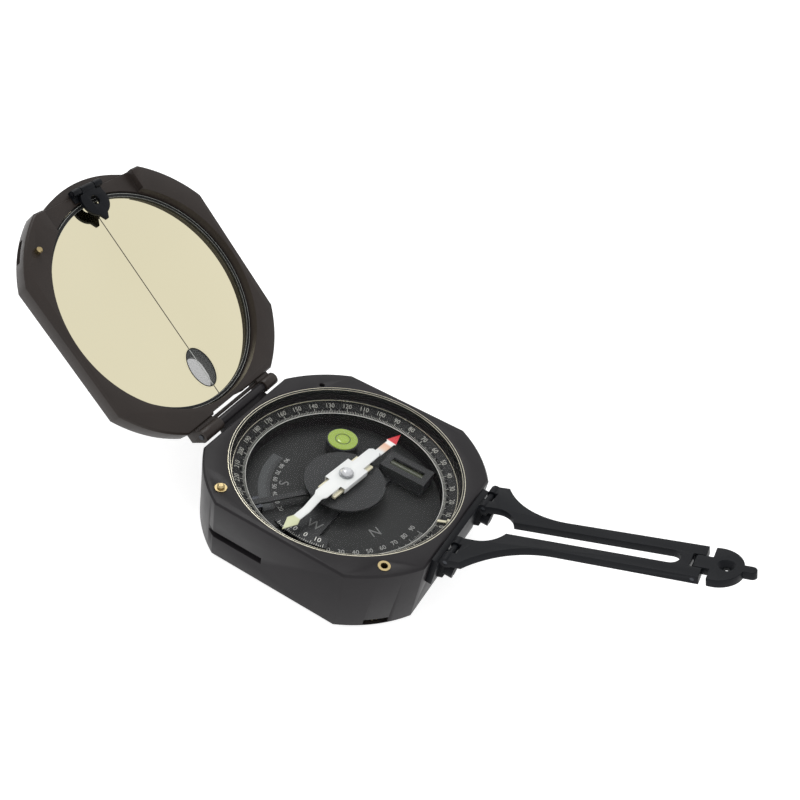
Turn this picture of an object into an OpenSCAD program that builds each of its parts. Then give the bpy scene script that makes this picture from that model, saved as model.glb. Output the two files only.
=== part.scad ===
// Pocket geological compass with a folding mirror lid, a hinged sighting arm and a clinometer.
// Origin: centre of the case's bottom face. +X runs from the lid hinge to the sighting arm, +Z is up.

/* [Case] */
// Length of the case along the line of sight
case_l = 69.6; // [66:0.2:74]
// Width of the case across the line of sight
case_w = 70; // [66:0.2:74]
// How far the rounded corners stand out beyond half the case's length
corner_out = 5.3; // [4:0.1:7]
// Height of the case
case_h = 20.2; // [19.6:0.1:24]
// Chamfer on the outer edges
edge_c = 0.5; // [0.2:0.1:1]
// Wall between the well and the end faces
wall_t = 2.5; // [2.2:0.1:2.9]
// Height of the floor inside the case
floor_z = 6; // [5:0.1:6.4]
// Depth of the recess in the back for the clinometer knob
back_recess = 3.6; // [3.4:0.1:4]
// Width of the inner shelf that carries the graduated ring
shelf_w = 3.7; // [3:0.1:3.7]
// Height of the tripod slots in both long sides
slot_h = 2.3; // [1.5:0.1:3]
// Depth of the tripod slots
slot_depth = 1.6; // [1:0.1:2]

/* [Glass] */
// Depth of the crystal's seat below the rim
seat_depth = 2.1; // [2:0.1:2.4]
// Thickness of the crystal
crystal_t = 1.4; // [1:0.1:1.6]
// Radial width of the bezel ring
bezel_w = 0.55; // [0.4:0.05:0.8]

/* [Graduated ring] */
// Depth of the ring's underside below the case's rim
ring_depth = 7.7; // [7.2:0.1:8.2]
// Height of the ring, from its foot to its outer edge
ring_h = 3.4; // [3:0.1:3.4]
// Radial width of the ring
ring_w = 4.2; // [3.9:0.1:4.4]
// Drop of the bevel from its outer to its inner edge
bevel_drop = 1.6; // [1:0.1:2]
// Distance of the ring's pitch circle from the well's wall
pitch_in = 2.3; // [2.1:0.1:2.6]
// Teeth on the ring
ring_teeth = 100; // [98:1:100]
// Teeth on the pinion
pinion_teeth = 14; // [12:1:14]
// Direction of the pinion from the centre, in degrees
pinion_az = -44.8; // [-50:0.1:-40]

/* [Dial] */
// Depth of the dial's face below the case's rim
dial_depth = 11; // [10.6:0.1:11.2]
// Thickness of the dial floor plate
dial_t = 1; // [0.6:0.1:1.5]
// Radius of the round level's vial
round_vial_r = 4.5; // [3.5:0.1:4.5]
// Radius of the tube level's vial
tube_r = 1.45; // [1:0.05:1.5]
// Length of the tube level's holder
tube_l = 14.5; // [12:0.1:14.5]

/* [Needle] */
// Gap between the needle's tips and the ring
needle_gap = 1; // [0.6:0.1:3]
// Direction of the needle's north end, in degrees from +X
needle_az = 82.7; // [0:0.1:360]
// Depth of the needle's tips below the case's rim
needle_depth = 6.1; // [5.8:0.1:6.2]
// Rise of the plate over the pivot above the needle's tips
needle_rise = 1.8; // [1.5:0.1:2.1]
// Half width of the raised plate
needle_half_w = 3.6; // [3.4:0.1:4.5]

/* [Needle lift] */
// Radius of the plate that lifts the needle
lift_r = 11.7; // [10:0.1:11.8]
// Travel of the lift pin
pin_travel = 1; // [0.6:0.1:1.2]
// Radius of the lift pin
pin_r = 1; // [0.8:0.05:1.1]
// Distance of the lift pin and the lid's stub from the rounded corner
pin_in = 3.35; // [3.2:0.05:3.7]
// Direction of the lift pin from the centre, in degrees
pin_az = 233.8; // [230:0.1:236]

/* [Lid] */
// Thickness of the lid at its edge
lid_edge = 4.9; // [4.6:0.1:6]
// Thickness of the lid in the middle
lid_t = 8; // [7.8:0.1:10]
// Wall between the lid's opening and its end faces
lid_wall = 2; // [1.8:0.1:2.8]
// How far the lid's rounded nose stands out past its free end
nose_out = 3.2; // [2:0.1:3.3]
// Depth of the mirror below the lid's rim
mirror_depth = 3.65; // [3.5:0.05:4]
// Thickness of the mirror
mirror_t = 1.8; // [1.2:0.1:2]
// Angle of the open lid from closed, at rest
lid_angle = 138; // [100:1:170]
// Gap between the closed lid and the case
lid_gap = 0.3; // [0.25:0.05:0.5]
// Distance of the hinge axis from the case's wall
hinge_out = 2.7; // [2.6:0.1:3]
// Length of the oval window in the mirror
window_l = 13.5; // [10:0.1:14]
// Width of the oval window in the mirror
window_w = 9.4; // [6:0.1:10]

/* [Sighting arm] */
// Distance of the arm's axis from the case's wall
arm_out = 3.5; // [3.4:0.1:4]
// Height of the arm's axis above the case's rim
arm_up = 1.3; // [1.3:0.05:1.5]
// Rise of the arm above level, at rest
arm_angle = 23.5; // [5:0.5:60]
// Thickness of the arm
arm_t = 2.15; // [1.8:0.05:2.2]
// Half width of the arm's shoulders
shoulder = 16.5; // [16:0.1:16.8]
// Half width of the arm's straight part
arm_half_w = 5.8; // [5.4:0.1:6.2]
// Half width of the long sighting slot
gap_half = 2.4; // [2:0.1:2.6]
// How much shorter than the case the arm is, up to the tip sight's axis
arm_short = 12.2; // [12:0.1:16]
// Radius of the tip sight's plate
tip_r = 5.9; // [5:0.1:6]
// Radius of the peep hole in the tip sight
peep_r = 0.7; // [0.5:0.05:2]

/* [Hidden] */
$fn = 96;
fit = 0.03; // radial clearance of a pin in its bore
slack = 0.1; // clearance between parts that slide past each other
cut = 1; // how far a cut runs past the face that it opens
case_colour = "#3f3d3f";
arm_colour = "#2b2d33";
dial_colour = "#26282a";
brass = "#b08d45";
steel = "#9a9ca0";

// Case
corner_d = case_l + 2 * corner_out;
ring_z = case_h - ring_depth;
dial_z = case_h - dial_depth;
needle_z = case_h - needle_depth;
needle_plate_z = needle_z + needle_rise;
well_r = case_l / 2 - wall_t;
slot_z = 7.3;

// Crystal and bezel
seat_z = case_h - seat_depth;
seat_r = well_r + 1.1;
gasket_t = 0.3;
crystal_r = seat_r - bezel_w;
crystal_z = seat_z + gasket_t;
crystal_top = crystal_z + crystal_t;
bezel_lip = 0.4;
bezel_proud = 0.05;

// Ring, shelf and gears
shelf_r = well_r - shelf_w;
shelf_z = ring_z - slack;
ring_out_r = well_r - slack;
ring_r = well_r - ring_w;
ring_top = ring_z + ring_h;
flange_t = 1;
pitch_r = well_r - pitch_in;
gear_m = 2 * pitch_r / ring_teeth;
pinion_pitch = gear_m * pinion_teeth / 2;
pinion_dist = pitch_r + pinion_pitch;
tooth_add = 0.8 * gear_m;
tooth_ded = 1.15 * gear_m;
tooth_tip = 0.3 * gear_m; // half thickness at the tip
tooth_root = 1.0 * gear_m; // half thickness at the root
pinion_h = ring_h - flange_t - 0.3;
pinion_z = ring_z + slack;
arbor_r = 1.5;
wheel_r = 5;
wheel_z = 0.95;
wheel_h = 1.5;
cover_h = 0.55;
wheel_pocket_r = wheel_r + 0.25;
wheel_pocket_z = wheel_z + wheel_h + 0.25;
wheel_slot_w = 6.8;
retainer_z = ring_top + slack;
retainer_h = 0.4;
retainer_in = well_r - 0.5;
retainer_out = well_r + 0.35;

// Dial plate and clinometer
dial_r = shelf_r - slack;
pedestal_r = shelf_r - 2.6;
shaft_r = 2.5;
arm_plate_z = dial_z + 0.3;
arm_plate_t = 0.8;
level_z = arm_plate_z + arm_plate_t;
level_top = needle_z - 0.4;
hub_r = 7;
vernier_out = shelf_r - 4.4;
vernier_in = vernier_out - 3.8;
vernier_half = 20; // half angle of the vernier
vernier_t = 0.7;
tube_in = 12.6; // how far the tube level sits in from the shelf
tube_y = shelf_r - tube_in;
tube_x = 4.5;
tube_half_w = 3.6;
tube_z = level_z + 1.7;
round_x = -9.5;
round_in = 14.1; // how far the round level sits in from the shelf
round_y = shelf_r - round_in;
round_cup_r = round_vial_r + 0.4;
knob_r = 12.4;
knob_z = 0.3;
knob_h = 3;
knob_bar = 4.6;
post_r = 0.9;
post_tip_z = needle_plate_z + 1;

// Needle
needle_r = ring_r - needle_gap;
hub_z = needle_plate_z - 0.9;
blade_t = 0.3;
flange_z = needle_z + 0.35;
needle_plate_back = 5;
needle_plate_front = 5.4;
needle_bar = 2;
magnet_t = 0.7;
magnet_w = 1;
magnet_back = 8.7;
magnet_front = 9;
tab_l = 2.7;
jewel_r = 1.75;
north_in = 14;
north_out = 15.2;
south_in = 12;
south_out = 17;

// Needle lift
pin_dist = corner_d / 2 - pin_in;
pin_bush_r = 1.65;
pin_bush_l = 3;
bush_proud = 0.2;
pin_top = case_h + bush_proud + pin_travel;
pin_collar_r = pin_bush_r - slack;
pin_foot_z = ring_z + 0.5;
pin_collar_z = case_h - 4.4;
strip_z = ring_z - 0.95;
strip_t = 0.6;
strip_w = 1.8;
fulcrum_dist = pedestal_r;
fulcrum_z = strip_z - 0.45;
fulcrum_r = 0.9;
fulcrum_pin_r = 0.4;
lift_z = strip_z + 1.45;
lift_t = 0.6;
stub_dist = pin_dist;
stub_r = 0.8;
stub_l = 1.6;
stub_bore = 0.95;
blind_dist = corner_d / 2 - 5.6;

// Lid and its hinge
lid_open_r = case_l / 2 - lid_wall;
lid_z = case_h + lid_gap;
lid_top = lid_z + lid_t;
hinge_x = -case_l / 2 - hinge_out;
hinge_z = case_h;
hinge_pin_r = 0.8;
barrel_r = 1.35;
knuckle_r = 1.9;
leaf_t = 1.2;
leaf_h = 10;
leaf_top = case_h - 1.6;
leaf_screw_z = case_h - 8.2;
leaf_from = -9.2;
leaf_to = 11.7;
knuckle_end = 17.4;
knuckle_gap = 0.2;
mirror_z = lid_z + mirror_depth;
mirror_r = lid_open_r - slack;
mirror_ring_in = mirror_r - 1.3;
pad_t = 0.35;
lid_back_z = mirror_z + mirror_t + pad_t;
window_in = 10.4; // how far the window's middle lies in from the mirror opening
window_x = window_in - lid_open_r;

// Sighting arm
arm_x = case_l / 2 + arm_out;
arm_z = case_h + arm_up;
arm_root = 1.45;
arm_pin_r = 0.6;
ear_in = 10;
ear_out = 13.2;
ear_gap = 0.25;
ear_slot = 1.9;
ear_r = 1;
bracket_t = 1.8;
bracket_h = 9; // how far the arm bracket reaches down the case
bracket_z = case_h - bracket_h;
bracket_screw_y = (ear_in + ear_out) / 2;
bracket_screw_z = case_h - 5;
bracket_seat = 3.2;
bracket_play = 0.3;
ear_half = (ear_out - ear_in) / 2;
gusset_x = 3.4;
gusset_drop = 2.8;
bolt_r = 0.98;
bolt_l = 5.2;
bolt_head_r = 2.15;
bolt_head_h = 2.4;
bolt_slot = 0.6;
tip_axis = case_l - arm_short;
gap_end = tip_axis - 3.8;
root_half = 7.1;
root_end = 4.2;
shoulder_end = 4.2;
waist_r = 24.8;
prong_end = tip_axis + 1.4;
tongue_half = 2.2;
tongue_back = 1.4;
tip_base = tip_axis + 3;
tip_centre = tip_axis + 4.2;
tip_l = 12.8; // length of the tip sight beyond its axis
tip_end = tip_axis + tip_l;
nub_half = 1.15;
peep_x = tip_axis + 6.3;
peep_dish_r = peep_r + 1.3;
peep_dish = arm_t / 2;
tip_pin_r = 0.5;
notch_half = shoulder + 0.4;
notch_top = arm_z + arm_t / 2 + 0.4;
notch_in = lid_open_r - 4.2;
nose_r = case_l / 2 + nose_out;
nose_z = notch_top + 0.35;
shell_window_l = window_l - 2.6;
shell_window_w = window_w - 1;
shell_window_shift = -1.5;
leaf_seat = 0.7;
leaf_seat_y = 8.6;
leaf_seat_l = 13.6;

// Sight on the lid's tip
sight_x = case_l / 2 + 0.5;
sight_z = arm_z;
sight_t = 1.1;
sight_r = 4.4;
sight_plate_x = sight_x - 3.9;
sight_hole = 1.3;
sight_tongue = 2.4;
sight_knuckle = 5.4;
sight_knuckle_r = 0.95;
sight_cut_y = 4;
sight_cut_w = 3.2;
sight_cut_l = 3;

// A plan outline: a rectangle with its corners cut round by a circle
module plan(inset = 0) {
    intersection() {
        square([case_l - 2 * inset, case_w - 2 * inset], center = true);
        circle(r = corner_d / 2 - inset, $fn = 180);
    }
}

// The same outline as a solid, from z0 up, with chamfers of c0 below and c1 above
module slab(z0, h, c0, c1) {
    intersection() {
        rotate([90, 0, 90])
            linear_extrude(case_l, center = true)
                side_profile(case_w / 2, z0, h, c0, c1);
        rotate([90, 0, 0])
            linear_extrude(case_w, center = true)
                side_profile(case_l / 2, z0, h, c0, c1);
        rotate_extrude($fn = 180)
            intersection() {
                side_profile(corner_d / 2, z0, h, c0, c1);
                translate([0, z0])
                    square([corner_d, h]);
            }
    }
}

module side_profile(half, z0, h, c0, c1) {
    polygon([[-half + c0, z0], [half - c0, z0], [half, z0 + c0], [half, z0 + h - c1], [half - c1, z0 + h],
        [-half + c1, z0 + h], [-half, z0 + h - c1], [-half, z0 + c0]]);
}

// Turns about Z, then moves out along the turned X
module polar(az, dist, z = 0) {
    rotate([0, 0, az])
        translate([dist, 0, z])
            children();
}

// A shaft along Y between two values of y
module y_rod(r, y0, y1) {
    translate([0, y1, 0])
        rotate([90, 0, 0])
            cylinder(r = r, h = y1 - y0, $fn = 48);
}

// A plan outline in X and Z, extruded along Y between two values of y
module y_plate(y0, y1) {
    translate([0, y1, 0])
        rotate([90, 0, 0])
            linear_extrude(y1 - y0)
                children();
}

module tube(r_out, r_in, z, h) {
    translate([0, 0, z])
        difference() {
            cylinder(r = r_out, h = h);
            translate([0, 0, -cut])
                cylinder(r = r_in, h = h + 2 * cut);
        }
}

module disc(r, z, h) {
    translate([0, 0, z])
        cylinder(r = r, h = h);
}

// Gear outline with straight-sided teeth, the first tooth on +X
function tooth_points(n, r, i) = let(a = 360 / n, deg = 180 / PI, t = a * i)
    [[r - tooth_ded, t - deg * tooth_root / r], [r + tooth_add, t - deg * tooth_tip / r],
     [r + tooth_add, t + deg * tooth_tip / r], [r - tooth_ded, t + deg * tooth_root / r]];

module gear_outline(n) {
    r = gear_m * n / 2;
    polygon([for (i = [0:n - 1]) for (p = tooth_points(n, r, i)) [p[0] * cos(p[1]), p[0] * sin(p[1])]]);
}

// Places what is modelled on the closed lid where the open lid holds it
module open_lid() {
    translate([hinge_x, 0, hinge_z])
        rotate([0, -lid_angle, 0])
            translate([-hinge_x, 0, -hinge_z])
                children();
}

// Places what is modelled along +X from the arm's axis
module on_arm() {
    translate([arm_x, 0, arm_z])
        rotate([0, -arm_angle, 0])
            children();
}

module lower_case() {
    color(case_colour)
        difference() {
            slab(0, case_h, edge_c, edge_c);
            disc(seat_r, seat_z, seat_depth + cut);
            disc(well_r, shelf_z, case_h);
            disc(shelf_r, dial_z - dial_t, case_h);
            tube(pedestal_r, hub_r, floor_z, case_h);
            disc(shaft_r + fit, -cut, case_h);
            disc(knob_r + 0.5, -cut, back_recess + cut);
            disc(retainer_out, retainer_z, retainer_h + 0.1);
            tripod_slots();
            adjuster_pockets();
            lift_pockets();
            screw_holes();
        }
}

// Slots in both long walls, open at the hinge end, for a tripod's clamp
module tripod_slots() {
    for (s = [-1, 1])
        translate([-case_l / 2, s * (case_w / 2 + cut) - (slot_depth + cut) * (s + 1) / 2, slot_z])
            cube([case_l / 2 - 4, slot_depth + cut, slot_h]);
}

module adjuster_pockets() {
    polar(pinion_az, pinion_dist, shelf_z)
        cylinder(r = pinion_pitch + tooth_add + 0.35, h = pinion_h + 0.3);
    polar(pinion_az, pinion_dist, -cut)
        cylinder(r = arbor_r + fit, h = shelf_z + 2 * cut);
    polar(pinion_az, pinion_dist, -cut)
        cylinder(r = wheel_pocket_r, h = wheel_pocket_z + cut);
    polar(pinion_az, pinion_dist, wheel_z - 0.2)
        translate([0, -wheel_slot_w / 2, 0])
            cube([wheel_r * 2, wheel_slot_w, wheel_h + 0.4]);
}

module lift_pockets() {
    polar(pin_az, pin_dist, strip_z)
        cylinder(r = pin_bush_r, h = case_h, $fn = 48);
    polar(pin_az, 0, strip_z - 0.65)
        translate([shelf_r - cut, -strip_w, 0])
            cube([pin_dist + 1.8 - shelf_r + cut, 2 * strip_w, ring_z - strip_z + 1]);
    polar(pinion_az, stub_dist, case_h - 4.2)
        cylinder(r = pin_bush_r, h = 5, $fn = 48);
    polar(134.5, blind_dist, case_h - 3)
        cylinder(r = 0.9, h = 4, $fn = 48);
}

module screw_holes() {
    for (s = [-1, 1])
        translate([case_l / 2 - 2.2, s * bracket_screw_y, bracket_screw_z])
            rotate([0, 90, 0])
                cylinder(r = 1, h = 4, $fn = 48);
    for (y = [leaf_from + 3.6, leaf_to - 3.6])
        translate([-case_l / 2 - 2, y, leaf_screw_z])
            rotate([0, 90, 0])
                cylinder(r = 0.8, h = 4.2, $fn = 48);
}

module dial_plate() {
    color(dial_colour)
        tube(dial_r, shaft_r + 0.6, dial_z - dial_t, dial_t);
}

module crystal() {
    color("lightcyan", 0.3)
        disc(crystal_r, crystal_z, crystal_t);
}

module crystal_gasket() {
    color("black")
        tube(seat_r - 0.02, well_r + 0.05, seat_z, gasket_t);
}

module bezel_ring() {
    color("#b9b296")
        rotate_extrude($fn = 180)
            polygon([[crystal_r + 0.02, crystal_z], [seat_r - 0.02, crystal_z],
                [seat_r - 0.02, case_h + bezel_proud], [crystal_r - bezel_lip, case_h + bezel_proud],
                [crystal_r - bezel_lip, crystal_top], [crystal_r + 0.02, crystal_top]]);
}

module ring_retainer() {
    color("#b9b296")
        tube(retainer_out - 0.05, retainer_in, retainer_z, retainer_h);
}

module index_marker() {
    color("#e6e0c4")
        rotate([0, 0, 3.5])
            y_plate(-0.4, 0.4)
                polygon([[ring_r + 0.5, ring_top - bevel_drop + 0.4], [retainer_in - 0.2, ring_top - 0.05],
                    [retainer_in - 0.2, retainer_z + retainer_h + 0.1],
                    [well_r - 0.02, retainer_z + retainer_h + 0.1],
                    [well_r - 0.02, retainer_z + retainer_h + 0.5],
                    [retainer_in - 0.6, retainer_z + retainer_h + 0.5],
                    [retainer_in - 0.6, ring_top + 0.2], [ring_r + 0.5, ring_top - bevel_drop + 0.7]]);
}

module azimuth_ring() {
    color(dial_colour)
        difference() {
            union() {
                translate([0, 0, ring_z])
                    linear_extrude(ring_h - flange_t + 0.2)
                        rotate([0, 0, pinion_az])
                            gear_outline(ring_teeth);
                disc(ring_out_r, ring_top - flange_t, flange_t);
            }
            disc(ring_r, ring_z - cut, ring_h + 2 * cut);
            rotate_extrude($fn = 180)
                polygon([[ring_r - 1, ring_top + 1], [ring_r - 1, ring_top - bevel_drop],
                    [ring_r, ring_top - bevel_drop], [ring_out_r, ring_top], [ring_out_r, ring_top + 1]]);
        }
}

// The pinion and its arbor; a gap between teeth faces the ring's tooth
module adjuster_pinion() {
    color(brass)
        polar(pinion_az, pinion_dist) {
            translate([0, 0, pinion_z])
                linear_extrude(pinion_h)
                    rotate([0, 0, 180 + 180 / pinion_teeth])
                        gear_outline(pinion_teeth);
            translate([0, 0, wheel_z + wheel_h - 0.6])
                cylinder(r = arbor_r, h = pinion_z - wheel_z - wheel_h + 0.7, $fn = 48);
        }
}

module adjuster_wheel() {
    color(brass)
        polar(pinion_az, pinion_dist, wheel_z)
            difference() {
                cylinder(r = wheel_r, h = wheel_h);
                translate([0, 0, wheel_h - 0.6])
                    cylinder(r = arbor_r + 0.01, h = 1, $fn = 48);
                for (i = [0:23])
                    rotate([0, 0, 15 * i])
                        translate([wheel_r + 0.1, 0, -cut])
                            cylinder(r = 0.4, h = wheel_h + 2 * cut, $fn = 24);
            }
}

module adjuster_cover() {
    color(case_colour)
        polar(pinion_az, pinion_dist, 0.05)
            intersection() {
                cylinder(r = wheel_pocket_r - 0.03, h = cover_h);
                translate([-wheel_pocket_r, -wheel_pocket_r, 0])
                    cube([2 * wheel_pocket_r, 2 * wheel_pocket_r, cover_h]);
            }
}

module clinometer_shaft() {
    color(steel)
        difference() {
            union() {
                disc(shaft_r, knob_z + 1.1, arm_plate_z - knob_z - 1.1);
                disc(shaft_r - 0.7, arm_plate_z - 0.5, arm_plate_t + 0.5);
            }
            disc(0.9, knob_z, 4);
        }
}

module clinometer_arm() {
    color("#33363a")
        translate([0, 0, arm_plate_z])
            difference() {
                linear_extrude(arm_plate_t)
                    difference() {
                        union() {
                            circle(hub_r);
                            translate([-4, 0.4 - vernier_out])
                                square([8, vernier_out - 1]);
                            translate([round_x, round_y])
                                circle(round_cup_r);
                            rotate([0, 0, atan2(round_y, round_x)])
                                translate([0, -2.5])
                                    square([norm([round_x, round_y]), 5]);
                            translate([tube_x - 0.7, tube_y - tube_half_w - 0.5])
                                square([tube_l + 0.7, 2 * tube_half_w + 0.7]);
                            translate([2, 2])
                                square([7, tube_y - 2]);
                        }
                        circle(shaft_r - 0.68);
                    }
            }
}

// Points of an arc, in degrees from +X
function arc(r, a0, a1, n) = [for (i = [0:n]) let(a = a0 + (a1 - a0) * i / n) [r * cos(a), r * sin(a)]];

module clinometer_vernier() {
    color(steel)
        translate([0, 0, level_z])
            linear_extrude(vernier_t)
                intersection() {
                    difference() {
                        circle(vernier_out);
                        circle(vernier_in);
                    }
                    polygon(concat([[0, 0]],
                        arc(2 * vernier_out, -90 - vernier_half, -90 + vernier_half, 4)));
                }
}

module tube_level_holder() {
    color("#33363a")
        difference() {
            translate([tube_x, tube_y - tube_half_w, level_z])
                cube([tube_l, 2 * tube_half_w, level_top - level_z]);
            translate([tube_x + 0.8, tube_y, tube_z])
                rotate([0, 90, 0])
                    cylinder(r = tube_r + 0.05, h = tube_l - 1.6, $fn = 48);
            translate([tube_x + 2, tube_y - tube_r, tube_z])
                cube([tube_l - 4, 2 * tube_r, 4]);
        }
}

module tube_level_vial() {
    color("#c8dc82", 0.8)
        translate([tube_x + 0.85, tube_y, tube_z])
            rotate([0, 90, 0])
                cylinder(r = tube_r, h = tube_l - 1.7, $fn = 48);
}

module round_level_cup() {
    color(brass)
        translate([round_x, round_y, level_z])
            difference() {
                cylinder(r = round_cup_r, h = level_top - level_z - 0.2);
                translate([0, 0, 0.6])
                    cylinder(r = round_vial_r, h = 5);
            }
}

module round_level_vial() {
    color("#a6c25c", 0.8)
        translate([round_x, round_y, level_z + 0.6])
            cylinder(r = round_vial_r - 0.02, h = level_top - level_z - 0.6);
}

module pivot_post() {
    color(steel)
        rotate_extrude($fn = 48)
            polygon([[0, level_z], [2.2, level_z], [2.2, level_z + 0.6], [post_r, level_z + 0.9],
                [post_r, post_tip_z - 1.4], [0.1, post_tip_z - 0.06], [0, post_tip_z - 0.06]]);
}

module clinometer_knob() {
    color(case_colour)
        difference() {
            disc(knob_r, knob_z, knob_h);
            disc(shaft_r + 0.01, knob_z + 1, knob_h);
            disc(2.4, knob_z - cut, cut + 1.1);
            difference() {
                disc(knob_r - 1.6, knob_z - cut, cut + 1.8);
                translate([-knob_r, -knob_bar / 2, 0])
                    cube([2 * knob_r, knob_bar, knob_h]);
                disc(3.6, 0, knob_h);
            }
        }
}

module knob_screw() {
    color(steel)
        difference() {
            union() {
                disc(2.2, knob_z + 0.1, 0.9);
                disc(0.88, knob_z + 0.5, 3);
            }
            translate([-3, -0.25, 0])
                cube([6, 0.5, knob_z + 0.45]);
        }
}

// The needle's outline along +X, north first
module needle_outline() {
    half = [[needle_r, 0], [needle_r - 4.8, 1.75], [needle_r - 5.1, 1.25], [north_in, 1.25],
        [north_in - 0.8, needle_bar], [needle_plate_front, needle_bar], [needle_plate_front, needle_half_w],
        [-needle_plate_back, needle_half_w], [-needle_plate_back, needle_bar], [0.9 - south_in, needle_bar],
        [-south_in - 0.4, 1.3], [6 - needle_r, 1.15], [4.2 - needle_r, 1.85], [-needle_r, 0]];
    polygon([for (i = [0 : 13]) half[i], for (i = [12 : -1 : 1]) [half[i].x, -half[i].y]]);
}

module needle_profile() {
    low = needle_z;
    high = needle_plate_z;
    polygon([[-needle_r - 1, low], [-south_out, low], [-south_in, high], [north_in, high], [north_out, low],
        [needle_r + 1, low], [needle_r + 1, low + blade_t], [north_out + 0.15, low + blade_t],
        [north_in + 0.15, high + blade_t], [-south_in - 0.1, high + blade_t],
        [-south_out - 0.1, low + blade_t], [-needle_r - 1, low + blade_t]]);
}

module needle_blade() {
    color("white")
        rotate([0, 0, needle_az])
            difference() {
                union() {
                    intersection() {
                        linear_extrude(case_h)
                            needle_outline();
                        y_plate(-needle_half_w - 1, needle_half_w + 1)
                            needle_profile();
                    }
                    for (s = [-1, 1])
                        translate([-needle_plate_back, s * (needle_half_w - blade_t / 2) - blade_t / 2, flange_z])
                            cube([needle_plate_back + needle_plate_front, blade_t,
                                needle_plate_z - flange_z + blade_t / 2]);
                    for (s = [-1, 1], x = [-magnet_back + 0.3, magnet_front - 0.4 - tab_l])
                        translate([x, s * (needle_bar - blade_t / 2) - blade_t / 2, flange_z])
                            cube([tab_l, blade_t, needle_plate_z - flange_z + blade_t / 2]);
                }
                disc(1.5, needle_plate_z - cut, 3);
            }
}

module needle_magnets() {
    color("#55565a")
        rotate([0, 0, needle_az])
            for (s = [-1, 1])
                translate([-magnet_back, s * (needle_bar + magnet_w / 2) - magnet_w / 2, flange_z])
                    cube([magnet_back + magnet_front, magnet_w, magnet_t]);
}

module needle_hub() {
    color(brass)
        difference() {
            union() {
                disc(1.48, hub_z, needle_plate_z - hub_z + blade_t);
                disc(2.1, needle_plate_z + blade_t, 0.5);
            }
            disc(post_r + 0.3, hub_z - cut, needle_plate_z + blade_t + 0.2 - hub_z + cut);
            disc(0.8, hub_z, 3);
        }
}

module needle_jewel() {
    color("#c03a46")
        difference() {
            rotate_extrude($fn = 48)
                polygon([[0, post_tip_z - 0.2], [0.78, post_tip_z - 0.2], [jewel_r, post_tip_z - 0.2],
                    [jewel_r, post_tip_z + 0.3], [jewel_r - 0.7, post_tip_z + 0.85], [0, post_tip_z + 1]]);
            rotate_extrude($fn = 48)
                polygon([[0, post_tip_z - cut], [0.5, post_tip_z - cut], [0.5, post_tip_z - 0.15],
                    [0, post_tip_z]]);
        }
}

module lift_pin() {
    color(brass)
        polar(pin_az, pin_dist)
            rotate_extrude($fn = 48)
                polygon([[0, pin_foot_z], [pin_r - 0.2, pin_foot_z], [pin_r - 0.2, pin_collar_z],
                    [pin_collar_r, pin_collar_z], [pin_collar_r, pin_collar_z + 1],
                    [pin_r, pin_collar_z + 1], [pin_r, pin_top - 0.4], [pin_r - 0.4, pin_top],
                    [0, pin_top]]);
}

module lift_pin_bush() {
    color(brass)
        polar(pin_az, pin_dist)
            tube(pin_bush_r - 0.01, pin_r + fit, case_h + bush_proud - pin_bush_l, pin_bush_l);
}

module lift_lever() {
    color(steel)
        rotate([0, 0, pin_az])
            difference() {
                union() {
                    translate([lift_r - 3, -strip_w / 2, strip_z])
                        cube([pin_dist + 0.9 - lift_r + 3, strip_w, strip_t]);
                    translate([lift_r - 3, -strip_w / 2, strip_z])
                        cube([2, strip_w, lift_z - strip_z]);
                    translate([fulcrum_dist, 0, fulcrum_z])
                        y_rod(fulcrum_r, -strip_w / 2, strip_w / 2);
                }
                translate([fulcrum_dist, 0, fulcrum_z])
                    y_rod(fulcrum_pin_r + fit, -strip_w, strip_w);
            }
}

module lift_plate() {
    color("#2f3235")
        tube(lift_r, post_r + 0.9, lift_z, lift_t);
}

module lever_bracket() {
    color(steel)
        rotate([0, 0, pin_az])
            difference() {
                for (s = [-1, 1])
                    translate([fulcrum_dist - 0.9, s * (strip_w / 2 + 0.7) - 0.5, dial_z])
                        cube([1.8, 1, fulcrum_z - dial_z + 0.85]);
                translate([fulcrum_dist, 0, fulcrum_z])
                    y_rod(fulcrum_pin_r + 0.01, -4, 4);
            }
}

module lever_pivot() {
    color(steel)
        polar(pin_az, fulcrum_dist, fulcrum_z)
            y_rod(fulcrum_pin_r, -strip_w / 2 - 1.3, strip_w / 2 + 1.3);
}

module stub_bush() {
    color(brass)
        polar(pinion_az, stub_dist)
            difference() {
                tube(pin_bush_r - 0.01, stub_bore, case_h - 4, 4 + bush_proud / 2);
                disc(stub_bore, case_h - 3.5, 5);
            }
}

// Case half of the lid's hinge: a leaf on the wall, and the middle barrel
module hinge_leaf_case() {
    wall = -case_l / 2;
    color(case_colour)
        difference() {
            union() {
                translate([wall - leaf_t, leaf_from, leaf_top - leaf_h])
                    cube([leaf_t, leaf_to - leaf_from, leaf_h]);
                y_plate(leaf_from, leaf_to)
                    polygon([[wall - leaf_t, leaf_top - 3], [wall - 0.4, leaf_top],
                        [wall - 1.6, leaf_top + 0.3],
                        [hinge_x + 0.5, hinge_z - 0.8], [hinge_x - 0.9, hinge_z - 0.8],
                        [hinge_x - barrel_r + 0.2, hinge_z - 0.6]]);
                translate([hinge_x, 0, hinge_z])
                    y_rod(barrel_r, leaf_from, leaf_to);
            }
            translate([hinge_x, 0, hinge_z])
                y_rod(hinge_pin_r + fit, leaf_from - cut, leaf_to + cut);
            for (y = [leaf_from + 3.6, leaf_to - 3.6])
                translate([wall - leaf_t - 1.3, y, leaf_screw_z])
                    rotate([0, 90, 0]) {
                        cylinder(r = 0.82, h = 4, $fn = 48);
                        cylinder(r = 1.6, h = 1.9, $fn = 48);
                    }
        }
}

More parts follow.
